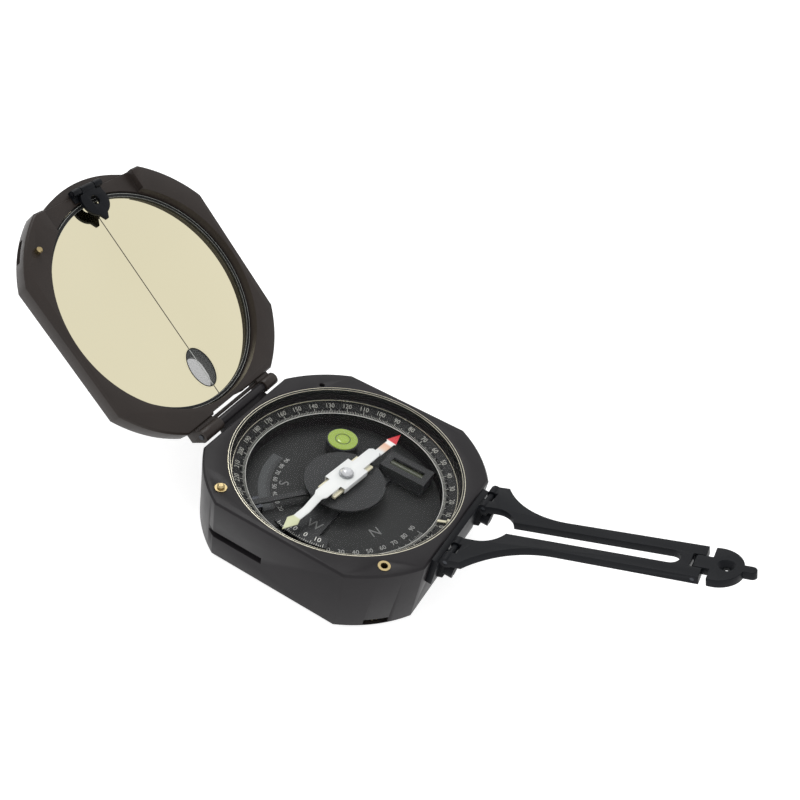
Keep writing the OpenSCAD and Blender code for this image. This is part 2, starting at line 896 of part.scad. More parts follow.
module hinge_leaf_screws() {
    color(steel)
        for (y = [leaf_from + 3.6, leaf_to - 3.6])
            translate([-case_l / 2 - leaf_t + 0.05, y, leaf_screw_z])
                rotate([0, 90, 0])
                    difference() {
                        union() {
                            cylinder(r = 1.55, h = 0.53, $fn = 48);
                            cylinder(r = 0.78, h = 3.2, $fn = 48);
                        }
                        translate([-2, -0.2, -cut])
                            cube([4, 0.4, cut + 0.25]);
                    }
}

// Lid half of the hinge: two knuckles joined by a bar, with a slot behind it
module hinge_leaf_lid() {
    edge = -case_l / 2;
    back = lid_z + lid_edge - 0.2;
    color(case_colour)
        open_lid()
            difference() {
                union() {
                    for (y = [[-knuckle_end, leaf_from - knuckle_gap],
                        [leaf_to + knuckle_gap, knuckle_end]]) {
                        translate([hinge_x, 0, hinge_z])
                            y_rod(knuckle_r, y[0], y[1]);
                        y_plate(y[0], y[1])
                            polygon([[edge, lid_z + 0.5], [edge, back], [hinge_x - 0.4, back],
                                [hinge_x - knuckle_r, hinge_z], [hinge_x, hinge_z]]);
                    }
                    translate([hinge_x + 1.3, leaf_from - 1, hinge_z + 1.2])
                        cube([0.9, leaf_to - leaf_from + 2, 1.6]);
                }
                translate([hinge_x, 0, hinge_z]) {
                    y_rod(hinge_pin_r + fit, -knuckle_end - cut, knuckle_end + cut);
                    y_rod(barrel_r + 0.2, leaf_from - knuckle_gap, leaf_to + knuckle_gap);
                }
            }
}

module hinge_pin() {
    color(steel)
        translate([hinge_x, 0, hinge_z])
            y_rod(hinge_pin_r, -knuckle_end - 0.2, knuckle_end + 0.2);
}

// The lid's free end swells outward behind the notch that clears the arm's hinge
module lid_nose() {
    intersection() {
        rotate_extrude($fn = 180)
            polygon([[0, nose_z], [nose_r, nose_z], [nose_r, lid_z + lid_edge],
                [nose_r - lid_t + lid_edge, lid_z + lid_t], [0, lid_z + lid_t]]);
        translate([notch_in, -notch_half, 0])
            cube([case_l, 2 * notch_half, 2 * case_h]);
    }
}

module lid_shell() {
    color(case_colour)
        open_lid()
            difference() {
                intersection() {
                    union() {
                        slab(lid_z, lid_t, edge_c, lid_t - lid_edge);
                        lid_nose();
                    }
                    translate([-case_l, -case_w, 0])
                        cube([2 * case_l, 2 * case_w, lid_top]);
                }
                disc(lid_open_r, lid_z - cut, lid_back_z - lid_z + cut);
                translate([notch_in, -notch_half, lid_z - cut])
                    cube([case_l, 2 * notch_half, notch_top - lid_z + cut]);
                translate([-case_l / 2 - cut, -leaf_seat_y, lid_z - cut])
                    cube([cut + leaf_seat, leaf_seat_l, lid_t]);
                translate([shell_window_shift, 0, 0])
                    oval(shell_window_l, shell_window_w, lid_back_z - cut, lid_t);
                polar(pinion_az, stub_dist, lid_z - cut)
                    cylinder(r = stub_r, h = cut + 2, $fn = 48);
                polar(pinion_az, corner_d / 2 - 1.2, lid_z + lid_edge - 2.1)
                    translate([0, -wheel_slot_w / 2, 0])
                        cube([4, wheel_slot_w, 1.8]);
            }
}

// An oval prism over the mirror's window
module oval(l, w, z, h) {
    translate([window_x, 0, z])
        linear_extrude(h)
            union() {
                for (s = [-1, 1])
                    translate([s * (l - w) / 2, 0])
                        circle(w / 2);
                square([l - w, w], center = true);
            }
}

module mirror_glass() {
    color("#c9ccc8")
        open_lid()
            difference() {
                disc(mirror_r, mirror_z, mirror_t);
                oval(window_l - 0.6, window_w - 0.6, mirror_z - cut, mirror_t + 2 * cut);
            }
}

module mirror_ring() {
    color(dial_colour)
        open_lid()
            tube(mirror_r, mirror_ring_in, mirror_z - 0.7, 0.7);
}

module mirror_pad() {
    color("black")
        open_lid()
            difference() {
                disc(mirror_r - 0.5, mirror_z + mirror_t, pad_t);
                oval(window_l + 1.4, window_w + 1.4, mirror_z, 2 * mirror_t + 2);
            }
}

module lid_stub() {
    color(brass)
        open_lid()
            polar(pinion_az, stub_dist)
                rotate_extrude($fn = 48)
                    polygon([[0, lid_z - stub_l], [stub_r - 0.3, lid_z - stub_l],
                        [stub_r - 0.02, lid_z - stub_l + 0.4], [stub_r - 0.02, lid_z + 2], [0, lid_z + 2]]);
}

module lid_sight_bracket() {
    base = notch_top - 0.5;
    color(arm_colour)
        open_lid()
            difference() {
                union() {
                    translate([case_l / 2 - 1.9, -sight_knuckle, base])
                        cube([3.2, 2 * sight_knuckle, 0.5]);
                    for (s = [-1, 1]) {
                        translate([sight_x, 0, sight_z])
                            y_rod(sight_knuckle_r, s * 4 - 1.4, s * 4 + 1.4);
                        translate([sight_x - 0.9, s * 4 - 1.4, sight_z])
                            cube([1.8, 2.8, base - sight_z + 0.2]);
                    }
                }
                translate([sight_x, 0, sight_z])
                    y_rod(tip_pin_r + 0.01, -7, 7);
            }
}

module lid_sight_pin() {
    color(steel)
        open_lid()
            translate([sight_x, 0, sight_z])
                y_rod(tip_pin_r, -sight_knuckle - 0.1, sight_knuckle + 0.1);
}

module lid_sight() {
    color(arm_colour)
        open_lid()
            difference() {
                union() {
                    translate([0, 0, sight_z - sight_t / 2])
                        linear_extrude(sight_t) {
                            translate([sight_plate_x, 0])
                                circle(sight_r);
                            translate([sight_plate_x, -sight_tongue])
                                square([sight_x - sight_plate_x, 2 * sight_tongue]);
                            translate([sight_plate_x - sight_r, 0])
                                polygon([[0.6, -1.6], [0.6, 1.6], [-1.4, 0.4], [-1.4, -0.4]]);
                        }
                    translate([sight_x, 0, sight_z])
                        y_rod(sight_knuckle_r, -sight_tongue, sight_tongue);
                }
                translate([sight_x, 0, sight_z])
                    y_rod(tip_pin_r + fit, -sight_cut_y, sight_cut_y);
                translate([sight_plate_x, 0, sight_z - sight_cut_l])
                    cylinder(r = sight_hole, h = 2 * sight_cut_l, $fn = 48);
                for (s = [-1, 1])
                    translate([sight_x - 1.3, s * sight_cut_y - sight_cut_w / 2, sight_z - sight_cut_l])
                        cube([sight_cut_l, sight_cut_w, 2 * sight_cut_l]);
            }
}

// Case half of the arm's hinge: a block on the wall with two ears
module arm_bracket() {
    wall = case_l / 2;
    color(arm_colour)
        difference() {
            union() {
                translate([wall, bracket_play - shoulder, bracket_z])
                    cube([bracket_t, 2 * (shoulder - bracket_play), case_h - bracket_play - bracket_z]);
                for (s = [-1, 1])
                    y_plate(s * bracket_screw_y - ear_half, s * bracket_screw_y + ear_half) {
                        translate([arm_x, arm_z])
                            circle(ear_r, $fn = 48);
                        polygon([[wall + 1, bracket_z], [wall + gusset_x, bracket_z + 1],
                            [arm_x + ear_r, case_h - gusset_drop], [arm_x + ear_r, arm_z],
                            [arm_x - ear_r, arm_z], [arm_x - ear_r, case_h - 2 * bracket_play],
                            [wall + 1, case_h - 2 * bracket_play]]);
                    }
            }
            translate([arm_x, 0, arm_z])
                y_rod(arm_pin_r + fit, -shoulder, shoulder);
            for (s = [-1, 1])
                translate([wall - cut, s * bracket_screw_y, bracket_screw_z])
                    rotate([0, 90, 0]) {
                        cylinder(r = bolt_r + 0.04, h = bolt_l + bolt_head_h, $fn = 48);
                        translate([0, 0, bracket_seat + cut])
                            cylinder(r = bolt_head_r + 0.15, h = bolt_l, $fn = 48);
                    }
        }
}

module bracket_screws() {
    color(arm_colour)
        for (s = [-1, 1])
            translate([case_l / 2 + bracket_seat + 0.05, s * bracket_screw_y, bracket_screw_z])
                rotate([0, 90, 0])
                    difference() {
                        union() {
                            cylinder(r = bolt_head_r, h = bolt_head_h, $fn = 48);
                            translate([0, 0, -bolt_l])
                                cylinder(r = bolt_r, h = bolt_l + 0.2, $fn = 48);
                        }
                        translate([-bolt_head_r - cut, -bolt_slot / 2, bolt_head_h - 0.7])
                            cube([2 * (bolt_head_r + cut), bolt_slot, 1]);
                    }
}

module arm_pins() {
    color(steel)
        translate([arm_x, 0, arm_z]) {
            y_rod(arm_pin_r, root_half + 0.2, shoulder - 0.1);
            y_rod(arm_pin_r, -shoulder + 0.1, -root_half - 0.2);
        }
}

module arm_outline() {
    dy = shoulder - arm_half_w;
    waist_x = shoulder_end + sqrt(2 * dy * waist_r - dy * dy);
    difference() {
        union() {
            translate([0, -arm_half_w])
                square([prong_end, 2 * arm_half_w]);
            difference() {
                translate([0, -shoulder])
                    square([waist_x, 2 * shoulder]);
                for (s = [-1, 1])
                    translate([waist_x, s * (arm_half_w + waist_r)])
                        circle(waist_r, $fn = 180);
            }
        }
        translate([-cut, -root_half])
            square([root_end + cut, 2 * root_half]);
        translate([root_end, 0])
            circle(root_half);
        translate([root_end, -gap_half])
            square([gap_end - gap_half - root_end, 2 * gap_half]);
        translate([gap_end - gap_half, 0])
            circle(gap_half);
        translate([tip_axis - tongue_back, -tongue_half - 0.2])
            square([prong_end, 2 * tongue_half + 0.4]);
        for (s = [-1, 1])
            translate([-cut, s * (ear_in + ear_out) / 2 - (ear_out - ear_in) / 2 - ear_gap])
                square([cut + ear_slot, ear_out - ear_in + 2 * ear_gap]);
    }
}

module sighting_arm() {
    color(arm_colour)
        on_arm()
            difference() {
                union() {
                    translate([0, 0, -arm_t / 2])
                        linear_extrude(arm_t)
                            arm_outline();
                    y_rod(arm_root, root_half, ear_in - ear_gap);
                    y_rod(arm_root, ear_gap - ear_in, -root_half);
                    y_rod(arm_root, ear_out + ear_gap, shoulder);
                    y_rod(arm_root, -shoulder, -ear_out - ear_gap);
                }
                y_rod(arm_pin_r + 0.01, -shoulder - cut, shoulder + cut);
                translate([tip_axis, 0, 0])
                    y_rod(tip_pin_r + 0.01, -arm_half_w - cut, arm_half_w + cut);
            }
}

module tip_pin() {
    color(steel)
        on_arm()
            translate([tip_axis, 0, 0])
                y_rod(tip_pin_r, -arm_half_w + 0.1, arm_half_w - 0.1);
}

module tip_sight() {
    color(arm_colour)
        on_arm()
            difference() {
                union() {
                    translate([0, 0, -arm_t / 2])
                        linear_extrude(arm_t) {
                            intersection() {
                                translate([tip_centre, 0])
                                    circle(tip_r);
                                translate([tip_base, -tip_r])
                                    square([2 * tip_r, 2 * tip_r]);
                            }
                            translate([tip_axis, -tongue_half])
                                square([tip_base - tip_axis + 1, 2 * tongue_half]);
                            translate([tip_centre, -nub_half])
                                square([tip_end - tip_centre - nub_half, 2 * nub_half]);
                            translate([tip_end - nub_half, 0])
                                circle(nub_half, $fn = 48);
                        }
                    translate([tip_axis, 0, 0])
                        y_rod(arm_t / 2, -tongue_half, tongue_half);
                }
                translate([tip_axis, 0, 0])
                    y_rod(tip_pin_r + fit, -tip_r, tip_r);
                translate([peep_x, 0, -arm_t])
                    cylinder(r = peep_r, h = 2 * arm_t, $fn = 48);
                translate([peep_x, 0, arm_t / 2 - peep_dish])
                    cylinder(r1 = peep_r, r2 = peep_dish_r, h = peep_dish + 0.001, $fn = 48);
            }
}

lower_case();
dial_plate();
crystal();
crystal_gasket();
bezel_ring();
ring_retainer();
index_marker();
azimuth_ring();
adjuster_pinion();
adjuster_wheel();
adjuster_cover();
clinometer_shaft();
clinometer_arm();
clinometer_vernier();
tube_level_holder();
tube_level_vial();
round_level_cup();
round_level_vial();
pivot_post();
clinometer_knob();
knob_screw();
needle_blade();
needle_magnets();
needle_hub();
needle_jewel();
lift_pin();
lift_pin_bush();
lift_lever();
lift_plate();
lever_bracket();
lever_pivot();
stub_bush();
hinge_leaf_case();
hinge_leaf_screws();
hinge_leaf_lid();
hinge_pin();
lid_shell();
mirror_glass();
mirror_ring();
mirror_pad();
lid_stub();
lid_sight_bracket();
lid_sight_pin();
lid_sight();
arm_bracket();
bracket_screws();
arm_pins();
sighting_arm();
tip_pin();
tip_sight();
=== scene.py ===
"""Looks of a pocket geological compass with an open mirror lid and a raised sighting arm."""

import math

import bmesh
import bpy
from mathutils import Matrix, Vector

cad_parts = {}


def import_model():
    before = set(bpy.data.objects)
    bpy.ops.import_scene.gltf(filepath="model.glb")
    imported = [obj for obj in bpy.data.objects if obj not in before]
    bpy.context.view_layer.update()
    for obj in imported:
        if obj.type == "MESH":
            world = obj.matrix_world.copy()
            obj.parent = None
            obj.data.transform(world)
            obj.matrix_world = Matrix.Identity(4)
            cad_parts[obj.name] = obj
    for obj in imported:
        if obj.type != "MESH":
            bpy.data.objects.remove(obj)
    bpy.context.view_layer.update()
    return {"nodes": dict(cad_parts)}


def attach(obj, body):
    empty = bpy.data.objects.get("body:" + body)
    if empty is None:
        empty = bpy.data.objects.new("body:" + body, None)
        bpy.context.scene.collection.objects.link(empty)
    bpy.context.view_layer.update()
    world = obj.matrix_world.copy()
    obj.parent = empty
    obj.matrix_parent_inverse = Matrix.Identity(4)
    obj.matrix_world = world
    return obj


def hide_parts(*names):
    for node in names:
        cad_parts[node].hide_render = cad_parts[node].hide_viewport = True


MM = 0.001
TAU = 2 * math.pi

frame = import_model()
nodes = frame["nodes"]

# Sizes of the CAD model that the looks repeat, in millimetres and degrees
RING_IN = 28.1
RING_OUT = 32.2
RING_TOP = 15.9
RING_DROP = 1.6
DIAL_Z = 9.2
HINGE = (-37.5, 20.2)
LID_ANGLE = 138.0
MIRROR_Z = 24.15
NEEDLE_AZ = 82.7
VERNIER_Z = 11.0
LETTER_PLATE_Z = 10.3
WEST = 270

# Faces that meet at less than this many degrees are shaded as one
SMOOTH_ANGLE = 32

# Steps round a turned ring and round one of its bright wires
RIM_STEPS = 240
WIRE_STEPS = 10


# Materials

def srgb(r, g, b):
    """Linear colour from 0-255 screen values."""
    def one(v):
        v /= 255
        return v / 12.92 if v <= 0.04045 else ((v + 0.055) / 1.055) ** 2.4
    return (one(r), one(g), one(b), 1)


class Nodes:
    """A small builder for one material's node tree."""

    def __init__(self, name):
        self.mat = bpy.data.materials.new(name)
        self.mat.use_nodes = True
        self.tree = self.mat.node_tree
        self.bsdf = self.tree.nodes["Principled BSDF"]
        self.coords = None

    def new(self, kind, **values):
        n = self.tree.nodes.new(kind)
        for k, v in values.items():
            if k in n.inputs:
                n.inputs[k].default_value = v
            else:
                setattr(n, k, v)
        return n

    def link(self, a, b):
        self.tree.links.new(a, b)

    def set(self, **values):
        for k, v in values.items():
            self.bsdf.inputs[k.replace("_", " ")].default_value = v
        return self

    def place(self):
        if self.coords is None:
            self.coords = self.new("ShaderNodeTexCoord").outputs["Object"]
        return self.coords

    def noise(self, scale, detail, rough):
        """Noise in the piece's own coordinates, with scale in cycles per metre."""
        n = self.new("ShaderNodeTexNoise", Scale=scale, Detail=detail, Roughness=rough)
        self.link(self.place(), n.inputs["Vector"])
        return n.outputs["Fac"]

    def ramp(self, fac, stops):
        n = self.new("ShaderNodeValToRGB")
        cr = n.color_ramp
        while len(cr.elements) < len(stops):
            cr.elements.new(0.5)
        for e, (pos, col) in zip(cr.elements, stops):
            e.position = pos
            e.color = col
        self.link(fac, n.inputs["Fac"])
        return n.outputs["Color"]

    def span(self, fac, low, high):
        """Spreads a factor from 0 to 1 over low to high."""
        n = self.new("ShaderNodeMapRange")
        n.inputs["To Min"].default_value = low
        n.inputs["To Max"].default_value = high
        self.link(fac, n.inputs["Value"])
        return n.outputs["Result"]

    def maths(self, operation, out, a, b=0.0):
        n = self.new("ShaderNodeMath", operation=operation)
        self.link(out, n.inputs[0])
        n.inputs[1].default_value = a
        n.inputs[2].default_value = b
        return n.outputs[0]

    def colour(self, out):
        self.link(out, self.bsdf.inputs["Base Color"])
        return self

    def rough(self, out):
        self.link(out, self.bsdf.inputs["Roughness"])
        return self

    def bump(self, height, distance, strength=1.0):
        n = self.new("ShaderNodeBump", Strength=strength, Distance=distance)
        self.link(height, n.inputs["Height"])
        last = self.bsdf.inputs["Normal"]
        if last.links:
            self.link(last.links[0].from_socket, n.inputs["Normal"])
        self.link(n.outputs["Normal"], last)
        return self


def shade(c, k):
    """A colour made darker or lighter by the factor k."""
    return (c[0] * k, c[1] * k, c[2] * k, 1)


def paint(name, colour, grain=0.006, low=0.32, high=0.46, spread=0.12, gloss=0.35):
    """Satin enamel on cast metal: a fine orange peel, mottled tone and roughness."""
    m = Nodes(name)
    m.set(Specular_IOR_Level=gloss)
    dark, light = shade(colour, 1 - spread), shade(colour, 1 + spread)
    m.colour(m.ramp(m.noise(90, 5, 0.6), [(0.25, dark), (0.75, light)]))
    m.rough(m.span(m.noise(260, 4, 0.6), low, high))
    m.bump(m.noise(2600, 2, 0.5), grain * MM)
    m.bump(m.noise(420, 3, 0.5), grain * 2 * MM, 0.5)
    return m.mat


def metal(name, colour, low, high):
    """Plain metal with a mottled tone, dull patches and a fine bump."""
    scale = 900
    m = Nodes(name)
    m.set(Metallic=1.0)
    m.colour(m.ramp(m.noise(300, 4, 0.6), [(0.3, shade(colour, 0.82)), (0.7, colour)]))
    m.rough(m.span(m.noise(scale, 4, 0.65), low, high))
    m.bump(m.noise(scale * 3, 2, 0.5), 0.004 * MM)
    return m.mat


def ink(name, colour, rough=0.55):
    """Printed or filled marks."""
    m = Nodes(name)
    m.colour(m.ramp(m.noise(1500, 2, 0.5), [(0.2, shade(colour, 0.78)), (0.8, colour)]))
    m.set(Roughness=rough)
    return m.mat


CASE = paint("case_paint", srgb(32, 30, 32), gloss=0.19)
LID = paint("lid_paint", srgb(44, 38, 35), gloss=0.24)
ARM_PAINT = paint("arm_paint", srgb(13, 15, 19), low=0.38, high=0.52, gloss=0.14)
# The dial, the azimuth ring, the clinometer's grey pieces and the scale band sit under the crystal.
# Their colours are lighter than their paint, and the lift is painted reflection: it stands in for
# the crystal's reflection of the room, which the crystal leaves out head on. The rims share the
# ring's lifted black.
DIAL_AND_REFLECTION = paint("dial_black", srgb(47, 48, 48), grain=0.001, low=0.5, high=0.65,
             spread=0.06, gloss=0.2)
RING_AND_REFLECTION = paint("ring_black_and_painted_reflection", srgb(31, 32, 32), grain=0.001, low=0.4, high=0.55,
             spread=0.06, gloss=0.2)
GREY_AND_REFLECTION = paint("bracket_grey", srgb(52, 53, 54), grain=0.001, low=0.42, high=0.55,
             spread=0.06, gloss=0.2)
BAND_AND_REFLECTION = paint("scale_band_and_painted_reflection", srgb(76, 78, 79), grain=0.001, low=0.42, high=0.55,
             spread=0.05, gloss=0.2)
BRASS = metal("brass", srgb(180, 162, 120), 0.3, 0.45)
GILT = metal("gilt", srgb(224, 219, 200), 0.2, 0.32)
STEEL = metal("steel", srgb(168, 170, 172), 0.25, 0.4)
BLACK_STEEL = metal("blackened_steel", srgb(70, 72, 76), 0.35, 0.5)
SEAL = paint("seal_rubber", srgb(22, 22, 22), low=0.6, high=0.75)
INK = ink("ring_ink", srgb(176, 176, 168))
FLOOR_INK = ink("floor_ink", srgb(168, 169, 166))
BRIGHT_INK = ink("bright_ink", srgb(236, 236, 230))
FAINT_INK = ink("faint_ink", srgb(112, 113, 112))
DARK_INK = ink("dark_ink", srgb(18, 18, 19))
CREAM = ink("marker_cream", srgb(232, 226, 196), 0.35)
PALE = ink("pale_line", srgb(172, 174, 170), 0.3)
LINE = ink("sight_line", srgb(46, 38, 30), 0.4)


def mirror_material():
    """Silvered glass with a warm tint."""
    m = Nodes("mirror_glass")
    m.set(Metallic=1.0, Roughness=0.02)
    m.colour(m.ramp(m.noise(14, 2, 0.5), [(0.3, srgb(221, 214, 184)), (0.7, srgb(226, 219, 190))]))
    m.bump(m.noise(9, 1, 0.4), 0.01 * MM, 0.4)
    return m.mat


def crystal_material():
    """Thin clear glass: it reflects little head on and more at a low angle. Head on it reflects far
    less than real glass, and the pieces under it carry that reflection as painted reflection in
    their colour.
    """
    head_on, rise, steepness = 0.001, 0.4, 5.0
    m = Nodes("crystal_glass")
    m.set(Metallic=1.0, Base_Color=(1, 1, 1, 1))
    m.rough(m.span(m.noise(60, 3, 0.5), 0.015, 0.04))
    facing = m.new("ShaderNodeLayerWeight", Blend=0.5).outputs["Facing"]
    grazing = m.maths("POWER", facing, steepness)
    m.link(m.maths("MULTIPLY_ADD", grazing, rise, head_on), m.bsdf.inputs["Alpha"])
    return m.mat


def pane_material():
    """The mirror's glass where it isn't silvered, with a grey, part-opaque tint that is painted
    shade: it darkens the floor seen through the window.
    """
    m = Nodes("window_glass_and_painted_shade")
    m.colour(m.ramp(m.noise(200, 2, 0.5), [(0.3, srgb(76, 78, 77)), (0.7, srgb(84, 86, 84))]))
    m.set(Roughness=0.06, Alpha=0.42)
    return m.mat


def needle_material():
    """White lacquer, with a red north tip and a pale green tail, split along the needle."""
    reach = 30
    tail, white = srgb(206, 210, 170), srgb(226, 228, 226)
    band, red = srgb(238, 236, 232), srgb(208, 50, 60)
    m = Nodes("needle_lacquer")
    sep = m.new("ShaderNodeSeparateXYZ")
    turn = m.new("ShaderNodeVectorRotate")
    turn.rotation_type = "Z_AXIS"
    turn.inputs["Angle"].default_value = math.radians(-NEEDLE_AZ)
    m.link(m.place(), turn.inputs["Vector"])
    m.link(turn.outputs["Vector"], sep.inputs["Vector"])
    along = m.new("ShaderNodeMapRange")
    along.inputs["From Min"].default_value = -reach * MM
    along.inputs["From Max"].default_value = reach * MM
    m.link(sep.outputs["X"], along.inputs["Value"])

    def at(mm):
        return (mm + reach) / (2 * reach)

    m.colour(m.ramp(along.outputs["Result"], [
        (0.0, tail), (at(-21.4), tail), (at(-20.9), white), (at(16.5), srgb(224, 226, 226)),
        (at(18.2), srgb(226, 196, 172)), (at(20.2), srgb(222, 176, 150)),
        (at(20.9), band), (at(22.3), band), (at(22.5), red), (1.0, red)]))
    m.rough(m.span(m.noise(500, 3, 0.5), 0.3, 0.45))
    m.bump(m.noise(1800, 2, 0.5), 0.003 * MM)
    return m.mat


def liquid(name, colour, rough=0.08, coat=0.6):
    """Tinted liquid seen through its vial, with a faint glow of its own colour."""
    m = Nodes(name)
    m.colour(m.ramp(m.noise(160, 2, 0.5), [(0.3, shade(colour, 0.92)), (0.7, colour)]))
    m.set(Roughness=rough, Coat_Weight=coat, Coat_Roughness=0.03)
    m.set(Emission_Color=colour, Emission_Strength=0.12)
    return m.mat


MIRROR = mirror_material()
CRYSTAL = crystal_material()
PANE_AND_PAINTED_SHADE = pane_material()
NEEDLE = needle_material()
GREEN = liquid("level_green", srgb(136, 160, 52))
BUBBLE = liquid("level_bubble", srgb(142, 166, 57))
DARK_GREEN = liquid("tube_green", srgb(46, 52, 30), 0.3, 0.15)
GREEN_LINE = ink("level_line", srgb(44, 58, 18))


def jewel_material():
    """Polished cap stone, pale and only partly clear."""
    m = Nodes("jewel")
    m.set(Transmission_Weight=0.25, IOR=1.6, Coat_Weight=0.8, Coat_Roughness=0.02)
    m.colour(m.ramp(m.noise(700, 2, 0.5), [(0.3, srgb(212, 214, 218)), (0.7, srgb(234, 235, 238))]))
    m.rough(m.span(m.noise(900, 2, 0.5), 0.03, 0.1))
    return m.mat


JEWEL = jewel_material()


# Mesh tools

def give(obj, material, body, replaces=()):
    """Gives a piece its material, the body it rides on and the nodes it stands for."""
    obj.data.materials.clear()
    obj.data.materials.append(material)
    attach(obj, body)
    if replaces:
        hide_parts(*replaces)
    return obj


def from_bmesh(bm, name):
    """Turns a mesh under construction into an object of the scene."""
    me = bpy.data.meshes.new(name)
    bmesh.ops.recalc_face_normals(bm, faces=bm.faces)
    bm.to_mesh(me)
    bm.free()
    obj = bpy.data.objects.new(name, me)
    bpy.context.scene.collection.objects.link(obj)
    me.shade_smooth()
    me.set_sharp_from_angle(angle=math.radians(SMOOTH_ANGLE))
    return obj


def soften(node, material, body, width=0.25, segments=2, corner=28):
    """A copy of a CAD node with its edges rounded, which stands for the node."""
    bm = bmesh.new()
    bm.from_mesh(nodes[node].data)
    bmesh.ops.remove_doubles(bm, verts=bm.verts, dist=1e-6)
    bmesh.ops.dissolve_limit(bm, angle_limit=math.radians(0.4), verts=bm.verts, edges=bm.edges)
    limit = math.radians(corner)
    sharp = [e for e in bm.edges if e.is_manifold and e.calc_face_angle(0) > limit]
    bmesh.ops.bevel(bm, geom=sharp, offset=width * MM, offset_type="OFFSET",
                    segments=segments, profile=0.5, affect="EDGES", clamp_overlap=True)
    obj = from_bmesh(bm, node + "_looks")
    return give(obj, material, body, [node])


def lathe(profile, name, steps, centre=(0, 0), closed=True):
    """Turns an (r, z) profile in millimetres about an upright axis through centre."""
    cx, cy = centre
    bm = bmesh.new()
    rings = []
    for k in range(steps):
        a = TAU * k / steps
        ring = []
        for r, z in profile:
            x, y = r * math.cos(a) + cx, r * math.sin(a) + cy
            ring.append(bm.verts.new((x * MM, y * MM, z * MM)))
        rings.append(ring)
    n = len(profile)
    for k in range(steps):
        a, b = rings[k], rings[(k + 1) % steps]
        for i in range(n if closed else n - 1):
            j = (i + 1) % n
            if profile[i][0] < 1e-6 and profile[j][0] < 1e-6:
                continue
            bm.faces.new((a[i], b[i], b[j], a[j]))
    bmesh.ops.remove_doubles(bm, verts=bm.verts, dist=1e-7)
    return from_bmesh(bm, name)


def rounded(profile, r, steps):
    """The same closed profile with each corner cut by a small arc of radius r."""
    nearly_straight = math.radians(88)
    share = 0.49
    out = []
    n = len(profile)
    for i, p in enumerate(profile):
        a, b = Vector(profile[i - 1]), Vector(profile[(i + 1) % n])
        p = Vector(p)
        u, v = (a - p), (b - p)
        half = u.angle(v) / 2
        if half > nearly_straight:
            out.append(tuple(p))
            continue
        cutoff = min(r / math.tan(half), u.length * share, v.length * share)
        ri = cutoff * math.tan(half)
        u.normalize()
        v.normalize()
        c = p + (u + v).normalized() * (ri / math.sin(half))
        s, e = p + u * cutoff - c, p + v * cutoff - c
        for k in range(steps + 1):
            t = k / steps
            d = (s * (1 - t) + e * t).normalized() * ri
            out.append(tuple(c + d))
    return out


def glyph_mesh(text):
    """A flat mesh of a short text, centred, one unit high: (vertices, faces)."""
    if text not in glyph_mesh.cache:
        cu = bpy.data.curves.new("glyph", "FONT")
        cu.body = text
        cu.align_x = "CENTER"
        cu.size = 1.0
        cu.resolution_u = 3
        ob = bpy.data.objects.new("glyph", cu)
        bpy.context.scene.collection.objects.link(ob)
        bpy.context.view_layer.update()
        me = ob.evaluated_get(bpy.context.evaluated_depsgraph_get()).to_mesh()
        vs = [tuple(v.co) for v in me.vertices]
        fs = [tuple(p.vertices) for p in me.polygons]
        y0, y1 = min(v[1] for v in vs), max(v[1] for v in vs)
        x0, x1 = min(v[0] for v in vs), max(v[0] for v in vs)
        k = 1 / (y1 - y0)
        cx, cy = (x0 + x1) / 2, (y0 + y1) / 2
        glyph_mesh.cache[text] = ([((v[0] - cx) * k, (v[1] - cy) * k) for v in vs], fs)
        ob.evaluated_get(bpy.context.evaluated_depsgraph_get()).to_mesh_clear()
        bpy.data.objects.remove(ob)
        bpy.data.curves.remove(cu)
    return glyph_mesh.cache[text]


glyph_mesh.cache = {}


class Marks:
    """Thin raised marks gathered in one mesh, which lay places on the surface from flat artwork."""

    sunk = -0.01

    def __init__(self, lay, height):
        self.bm = bmesh.new()
        self.lay = lay
        self.height = height

    def patch(self, points, faces):
        def layer(h):
            return [self.bm.verts.new(Vector(self.lay(x, y, h)) * MM) for x, y in points]

        low, high = layer(self.sunk), layer(self.height)
        count = {}
        for f in faces:
            for i in range(len(f)):
                e = (f[i], f[(i + 1) % len(f)])
                count[frozenset(e)] = count.get(frozenset(e), 0) + 1
        for f in faces:
            self.bm.faces.new([high[i] for i in f])
            self.bm.faces.new([low[i] for i in reversed(f)])
            for i in range(len(f)):
                a, b = f[i], f[(i + 1) % len(f)]
                if count[frozenset((a, b))] == 1:
                    self.bm.faces.new((high[b], high[a], low[a], low[b]))

    def bar(self, cx, cy, lx, ly, turn=0.0, n=1):
        c, s = math.cos(turn), math.sin(turn)
        pts = []
        for i in range(n + 1):
            x = -lx / 2 + lx * i / n
            for y in (-ly / 2, ly / 2):
                pts.append((cx + x * c - y * s, cy + x * s + y * c))
        self.patch(pts, [(2 * i, 2 * i + 2, 2 * i + 3, 2 * i + 1) for i in range(n)])

    def done(self, name, material, body):
        return give(from_bmesh(self.bm, name), material, body)


# Ring and dial markings

def on_ring(u, v, h):
    """u is degrees round from +X, v is millimetres outwards from the ring's inner edge."""
    slope = RING_DROP / (RING_OUT - RING_IN)
    a = math.radians(u)
    r = RING_IN + v
    z = RING_TOP - RING_DROP + v * slope + h
    return (r * math.cos(a), r * math.sin(a), z)


def by_step(d, ten, five, one):
    """The value for a mark at d degrees, which differs for tens, fives and the rest."""
    return ten if d % 10 == 0 else five if d % 5 == 0 else one


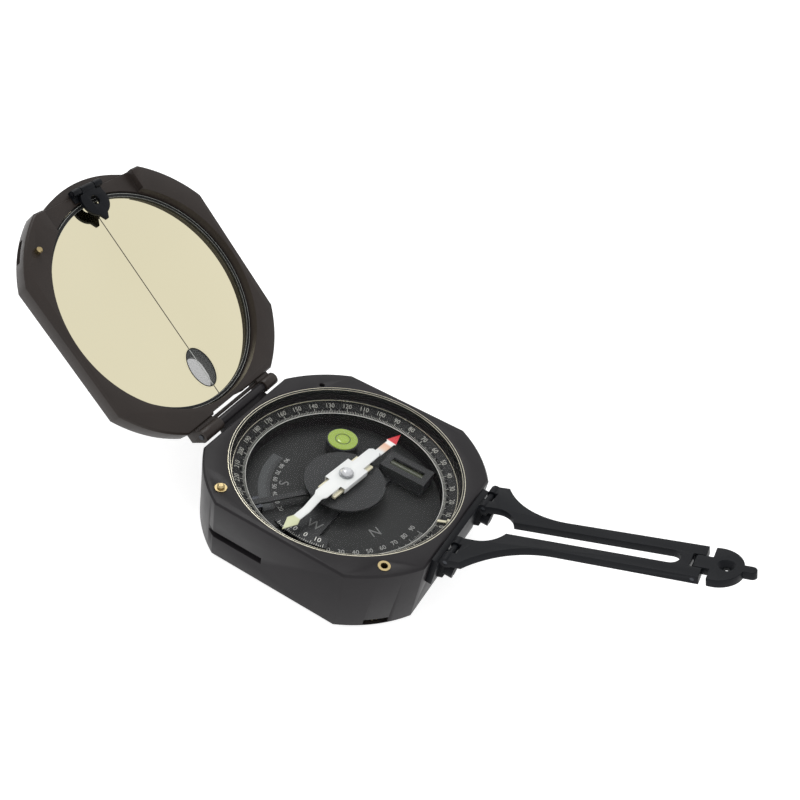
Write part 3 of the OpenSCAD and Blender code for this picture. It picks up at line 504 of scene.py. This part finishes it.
def ring_marks():
    """A mark at each degree, a number at each ten and a fine line along both edges."""
    start = 0.12
    size, mid, stretch = 1.35, 2.55, 1.02
    per_mm = 360 / (TAU * (RING_IN + mid))
    m = Marks(on_ring, 0.025)
    for d in range(360):
        end = start + by_step(d, 1.5, 1.15, 0.75)
        half = by_step(d, 0.16, 0.13, 0.13)
        m.patch([(d - half, start), (d + half, start), (d + half, end), (d - half, end)],
                [(0, 1, 2, 3)])
    for d in range(0, 360, 10):
        vs, fs = glyph_mesh(str(d))
        m.patch([(d - x * size * stretch * per_mm, mid + y * size) for x, y in vs], fs)
    m.done("ring_numbers", INK, "ring")
    e = Marks(on_ring, 0.03)
    n = 180
    for v0, v1 in ((0.0, 0.12), (4.0, 4.1)):
        pts = [(360 * i / n, v) for i in range(n) for v in (v0, v1)]
        pairs = [(2 * i, 2 * ((i + 1) % n)) for i in range(n)]
        e.patch(pts, [(a, b, b + 1, a + 1) for a, b in pairs])
    e.done("ring_edge_lines", BRIGHT_INK, "ring")


def on_floor(x, y, h):
    return (x, y, DIAL_Z + h)


def around(marks, text, degrees, radius, size):
    """Lays a text on a level dial at a direction and radius, its top towards the centre."""
    a = math.radians(degrees)
    c, q = math.cos(a + math.pi / 2), math.sin(a + math.pi / 2)
    cx, cy = radius * math.cos(a), radius * math.sin(a)
    vs, fs = glyph_mesh(text)
    marks.patch([(cx + x * size * c - y * size * q, cy + x * size * q + y * size * c)
                 for x, y in vs], fs)


def spoke(marks, degrees, r0, r1, width):
    """A straight mark from radius r0 to r1."""
    a = math.radians(degrees)
    r = (r0 + r1) / 2
    marks.bar(r * math.cos(a), r * math.sin(a), r1 - r0, width, a)


def arc_band(marks, r0, r1, a0, a1, n):
    """A curved band from radius r0 to r1 and from a0 to a1 degrees, in n parts."""
    pts = []
    for i in range(n + 1):
        a = math.radians(a0 + (a1 - a0) * i / n)
        pts += [(r0 * math.cos(a), r0 * math.sin(a)), (r1 * math.cos(a), r1 * math.sin(a))]
    marks.patch(pts, [(2 * i, 2 * i + 1, 2 * i + 3, 2 * i + 2) for i in range(n)])


def floor_marks():
    """The clinometer's two scales: degrees to the right of the west point, grade to its left."""
    degree_out, grade_in, grade_out = 26.3, 20.9, 24.3
    grade_first, grade_step = 238.7, 8.5
    letter_r, letter_size = 17, 2.9
    m = Marks(on_floor, 0.02)
    for d in range(0, 91):
        spoke(m, WEST + d, by_step(d, 24.4, 24.9, 25.3), degree_out, by_step(d, 0.14, 0.1, 0.1))
    for d in range(0, 100, 10):
        around(m, str(d), WEST + d, 22.7, 1.4)
    for i in range(8):
        around(m, str(20 + 10 * i), grade_first - grade_step * i, 19.6, 1.3)
    m.done("degree_scale", FLOOR_INK, "case")
    b = Marks(on_floor, 0.015)
    arc_band(b, grade_in, grade_out, 179, 237, 40)
    b.done("grade_band", BAND_AND_REFLECTION, "case")
    t = Marks(on_floor, 0.035)
    for i in range(55):
        spoke(t, 181 + i, grade_in, 22.4 if i % 5 == 0 else 21.9, 0.16)
    t.done("grade_ticks", DARK_INK, "case")
    w = Marks(on_floor, 0.02)
    for text, az in (("S", 208), ("N", 333), ("E", 90)):
        around(w, text, az, letter_r, letter_size)
    w.done("dial_letters", FAINT_INK, "case")


def vernier_marks():
    """The vernier's scale beside the west point, and the letter on the clinometer's plate."""
    edge, step = 24.1, 1.45
    m = Marks(lambda x, y, h: (x, y, VERNIER_Z + h), 0.02)
    for i in range(-12, 13):
        length = 1.1 if i % 6 == 0 else 0.7 if i % 3 == 0 else 0.5
        spoke(m, WEST + i * step, edge - length, edge, 0.12)
    for az, label in ((263.3, "10"), (273.0, "0"), (282.7, "10")):
        around(m, label, az, 21.9, 1.5)
    m.done("vernier_scale", BRIGHT_INK, "clinometer")
    p = Marks(lambda x, y, h: (x, y, LETTER_PLATE_Z + h), 0.02)
    around(p, "W", 273, 16.8, 2.9)
    p.done("west_letter", FAINT_INK, "clinometer")


ring_marks()
floor_marks()
vernier_marks()


# Pieces with rounded edges, then pieces that keep the CAD model's mesh

soften("lower_case", CASE, "case", 0.22, 2, 40)
soften("arm_bracket", ARM_PAINT, "case", 0.2)
soften("hinge_leaf_case", CASE, "case", 0.15)
soften("clinometer_knob", CASE, "clinometer", 0.15)
soften("sighting_arm", ARM_PAINT, "arm", 0.3, 3)
soften("tip_sight", ARM_PAINT, "tip_sight", 0.3, 3)
soften("lid_sight", ARM_PAINT, "lid_sight", 0.2)
soften("lid_sight_bracket", ARM_PAINT, "lid", 0.12)
soften("lid_shell", LID, "lid", 0.25, 2, 40)
soften("hinge_leaf_lid", LID, "lid", 0.15)
soften("needle_blade", NEEDLE, "needle", 0.06)
soften("bracket_screws", ARM_PAINT, "case", 0.12)

plain = {
    "dial_plate": DIAL_AND_REFLECTION, "azimuth_ring": RING_AND_REFLECTION, "index_marker": CREAM,
    "crystal": CRYSTAL, "crystal_gasket": SEAL, "adjuster_pinion": BRASS, "adjuster_wheel": BRASS,
    "adjuster_cover": CASE, "clinometer_shaft": STEEL, "clinometer_arm": GREY_AND_REFLECTION,
    "clinometer_vernier": GREY_AND_REFLECTION, "tube_level_holder": GREY_AND_REFLECTION, "tube_level_vial": DARK_GREEN,
    "round_level_cup": GREY_AND_REFLECTION, "round_level_vial": GREEN, "pivot_post": STEEL,
    "knob_screw": STEEL, "needle_magnets": CREAM, "needle_hub": STEEL,
    "needle_jewel": JEWEL, "lift_pin": BRASS, "lift_pin_bush": BRASS, "lift_lever": GREY_AND_REFLECTION,
    "lift_plate": GREY_AND_REFLECTION, "lever_bracket": BLACK_STEEL, "lever_pivot": STEEL, "stub_bush": BRASS,
    "hinge_leaf_screws": BLACK_STEEL, "hinge_pin": BLACK_STEEL, "mirror_glass": MIRROR,
    "mirror_pad": SEAL, "lid_stub": BRASS, "lid_sight_pin": BLACK_STEEL, "arm_pins": BLACK_STEEL,
    "tip_pin": BLACK_STEEL,
}
for name, material in plain.items():
    data = nodes[name].data
    data.materials.clear()
    data.materials.append(material)


# Thin rims with a bright bead

def rim(node, profile, beads, body, place=None, bright=GILT):
    """A dark ring in place of a CAD one, with bright wires of (r, z, thickness) on its edges."""
    parts = [(lathe(rounded(profile, 0.06, 2), node + "_looks", RIM_STEPS), RING_AND_REFLECTION, "seal")]
    turns = [TAU * k / WIRE_STEPS for k in range(WIRE_STEPS)]
    for i, (r, z, w) in enumerate(beads):
        wire = [(r + w / 2 * math.cos(t), z + w / 2 * math.sin(t)) for t in turns]
        parts.append((lathe(wire, f"{node}_wire_{i}", RIM_STEPS), bright, "gilt"))
    for i, (obj, material, slot) in enumerate(parts):
        if place:
            for v in obj.data.vertices:
                v.co = Vector(place(*(c / MM for c in v.co))) * MM
        give(obj, material, body, [node] if i == 0 else ())


rim("bezel_ring", [(32.5, 18.45), (33.35, 18.45), (33.35, 20.1), (33.0, 20.2), (32.5, 19.9)],
    [(33.2, 20.06, 0.34), (32.62, 19.9, 0.2)], "case")
rim("ring_retainer", [(31.85, 16.0), (32.58, 16.0), (32.58, 16.35), (31.95, 16.35)],
    [(31.99, 16.24, 0.28)], "case")


# Sight line on the mirror

def in_lid(x, y, z):
    """A point of the closed lid, in millimetres, where the open lid holds it."""
    t = math.radians(-LID_ANGLE)
    dx, dz = x - HINGE[0], z - HINGE[1]
    return (HINGE[0] + dx * math.cos(t) + dz * math.sin(t), y,
            HINGE[1] - dx * math.sin(t) + dz * math.cos(t))


def sight_line():
    """The line down the mirror's middle, in two bars that leave out the window."""
    m = Marks(lambda x, y, h: in_lid(x, y, MIRROR_Z - h), 0.03)
    m.bar(-30.1, 0, 2.7, 0.28)
    m.bar(7.65, 0, 47.3, 0.28, n=8)
    m.done("mirror_sight_line", LINE, "lid")


sight_line()
rim("mirror_ring", [(31.4, 23.5), (32.65, 23.5), (32.65, 24.12), (31.4, 24.12)],
    [(31.46, 23.56, 0.12), (32.3, 23.5, 0.12)], "lid", in_lid, PALE)


# Window in the mirror: a dark rim round an oval pane that isn't silvered, with a pale line

def band_between(loops, name):
    """A closed tube of mesh through loops of points that all have the same count."""
    bm = bmesh.new()
    rings = [[bm.verts.new(Vector(p) * MM) for p in loop] for loop in loops]
    for a, b in zip(rings, rings[1:] + rings[:1]):
        for k in range(len(a)):
            j = (k + 1) % len(a)
            bm.faces.new((a[k], a[j], b[j], b[k]))
    return from_bmesh(bm, name)


def window_rim():
    """Mirror corners that make the opening oval, and the rim, the pane and the pane's line."""
    cx, long, wide = -22.4, 12.9, 8.8
    steps = 64
    gap, wall_in, pane_in, middle = 0.02, 0.45, 0.44, long / 2 - 0.01
    glass_back = MIRROR_Z + 0.4
    wall_front, wall_back = MIRROR_Z - 0.03, MIRROR_Z + 1.7
    pane_front, pane_back = MIRROR_Z + 0.05, MIRROR_Z + 0.45
    half = (long - wide) / 2
    turns = [TAU * (k + 0.5) / steps for k in range(steps)]

    def oval(inset, z):
        """An ellipse inside the slot; a deep inset shrinks it to a point at the window's middle."""
        a, b = long / 2 - inset, max(wide / 2 - inset, 0.01)
        return [in_lid(cx + math.cos(t) * a, math.sin(t) * b, z) for t in turns]

    def slot(inset, z):
        """The opening of the mirror itself, with straight sides and round ends."""
        r = wide / 2 - inset
        return [in_lid(cx + math.copysign(half, math.cos(t)) + math.cos(t) * r,
                       math.sin(t) * r, z) for t in turns]

    glass = band_between([slot(gap, MIRROR_Z), oval(0.15, MIRROR_Z), oval(0.15, glass_back),
                          slot(gap, glass_back)], "mirror_window_corners")
    give(glass, MIRROR, "lid")
    wall = band_between([oval(0.17, wall_front), oval(wall_in, wall_front),
                         oval(wall_in, wall_back), oval(0.17, wall_back)], "mirror_window_rim")
    give(wall, SEAL, "lid")
    # The pane's grey tint is painted shade over the floor seen through the window.
    pane = band_between([oval(pane_in, pane_front), oval(middle, pane_front),
                         oval(middle, pane_back), oval(pane_in, pane_back)], "mirror_window_pane")
    give(pane, PANE_AND_PAINTED_SHADE, "lid")
    m = Marks(lambda x, y, h: in_lid(x, y, MIRROR_Z + 0.04 - h), 0.05)
    m.bar(cx, 0, long - 0.9, 0.26, n=4)
    m.done("window_sight_line", PALE, "lid")


window_rim()


# Round level

def round_level():
    """The circle and the bubble of the round level."""
    centre, z = (-9.5, 14.5), 13.7
    line_in, line_out = 2.1, 2.32
    bubble_r, bubble_h, arc = 1.75, 0.16, 8
    section = [(line_in, z - 0.02), (line_out, z - 0.02), (line_out, z + 0.05), (line_in, z + 0.05)]
    line = lathe(rounded(section, 0.01, 1), "round_level_circle", 64, centre)
    give(line, GREEN_LINE, "clinometer")
    dome = [(bubble_r * math.cos(t), z + bubble_h * math.sin(t))
            for t in [math.pi / 2 * i / arc for i in range(arc + 1)]]
    profile = [(0, z - 0.03), (bubble_r, z - 0.03)] + dome
    bubble = lathe(profile, "round_level_bubble", 48, centre, closed=False)
    give(bubble, BUBBLE, "clinometer")


round_level()


# Floor, light and camera

def floor():
    """A plain pale floor that reaches half_side metres each way, just below the part."""
    n, half_side, below = 24, 6.0, 0.0002
    bm = bmesh.new()
    line = [half_side * (i / n - 0.5) * 2 for i in range(n + 1)]
    grid = [[bm.verts.new((x, y, 0)) for y in line] for x in line]
    for i in range(n):
        for j in range(n):
            bm.faces.new((grid[i][j], grid[i + 1][j], grid[i + 1][j + 1], grid[i][j + 1]))
    obj = from_bmesh(bm, "studio_floor")
    obj.location.z = -below
    m = Nodes("floor_white")
    m.colour(m.ramp(m.noise(3, 2, 0.5), [(0.2, (0.5, 0.5, 0.5, 1)), (0.8, (0.53, 0.53, 0.53, 1))]))
    m.set(Roughness=0.9, Emission_Color=(1, 1, 1, 1), Emission_Strength=0.74)
    obj.data.materials.append(m.mat)


def world():
    """Soft studio light from all round, as (height, brightness) from below to above."""
    stops = ((0.0, 0.8), (0.35, 0.88), (0.47, 1.0), (0.56, 1.0), (0.76, 0.96), (0.86, 0.66),
             (1.0, 0.56))
    strength = 1.01
    w = bpy.data.worlds.new("studio")
    bpy.context.scene.world = w
    w.use_nodes = True
    t = w.node_tree
    bg = t.nodes["Background"]
    coord = t.nodes.new("ShaderNodeTexCoord")
    sep = t.nodes.new("ShaderNodeSeparateXYZ")
    ramp = t.nodes.new("ShaderNodeValToRGB")
    t.links.new(coord.outputs["Generated"], sep.inputs["Vector"])
    t.links.new(sep.outputs["Z"], ramp.inputs["Fac"])
    while len(ramp.color_ramp.elements) < len(stops):
        ramp.color_ramp.elements.new(0.5)
    for element, (position, value) in zip(ramp.color_ramp.elements, stops):
        element.position = position
        element.color = (value, value, value, 1)
    t.links.new(ramp.outputs["Color"], bg.inputs["Color"])
    bg.inputs["Strength"].default_value = strength


def area(name, place, size, power):
    """A soft white light at place, in metres, turned to the part."""
    data = bpy.data.lights.new(name, "AREA")
    data.shape = "RECTANGLE"
    data.size = data.size_y = size
    data.energy = power
    obj = bpy.data.objects.new(name, data)
    bpy.context.scene.collection.objects.link(obj)
    obj.location = place
    obj.rotation_euler = (-Vector(place)).to_track_quat("-Z", "Y").to_euler()


def camera():
    """The viewpoint of the photograph: place in millimetres, direction and roll in degrees."""
    place = (71.97, -168.88, 191.87)
    azimuth, elevation, roll = (math.radians(v) for v in (113.113, -41.802, 11.402))
    sensor, reach = 36, 903.2 / 800
    data = bpy.data.cameras.new("photo_camera")
    obj = bpy.data.objects.new("photo_camera", data)
    bpy.context.scene.collection.objects.link(obj)
    flat = math.cos(elevation)
    ahead = Vector((flat * math.cos(azimuth), flat * math.sin(azimuth), math.sin(elevation)))
    level = Vector((math.sin(azimuth), -math.cos(azimuth), 0))
    above = level.cross(ahead)
    x = level * math.cos(roll) + above * math.sin(roll)
    y = above * math.cos(roll) - level * math.sin(roll)
    m = Matrix((x, y, -ahead)).transposed().to_4x4()
    m.translation = Vector(place) * MM
    obj.matrix_world = m
    data.sensor_width = sensor
    data.lens = reach * sensor
    data.shift_x = 0.06
    data.shift_y = 0.055
    data.clip_start = 0.01
    data.clip_end = 20
    bpy.context.scene.camera = obj


floor()
world()
area("key", (-0.35, 0.25, 0.75), 0.4, 2.5)
area("fill", (0.6, -0.5, 0.6), 0.8, 1)
camera()
bpy.context.scene.view_settings.view_transform = "Standard"
bpy.context.scene.view_settings.look = "None"
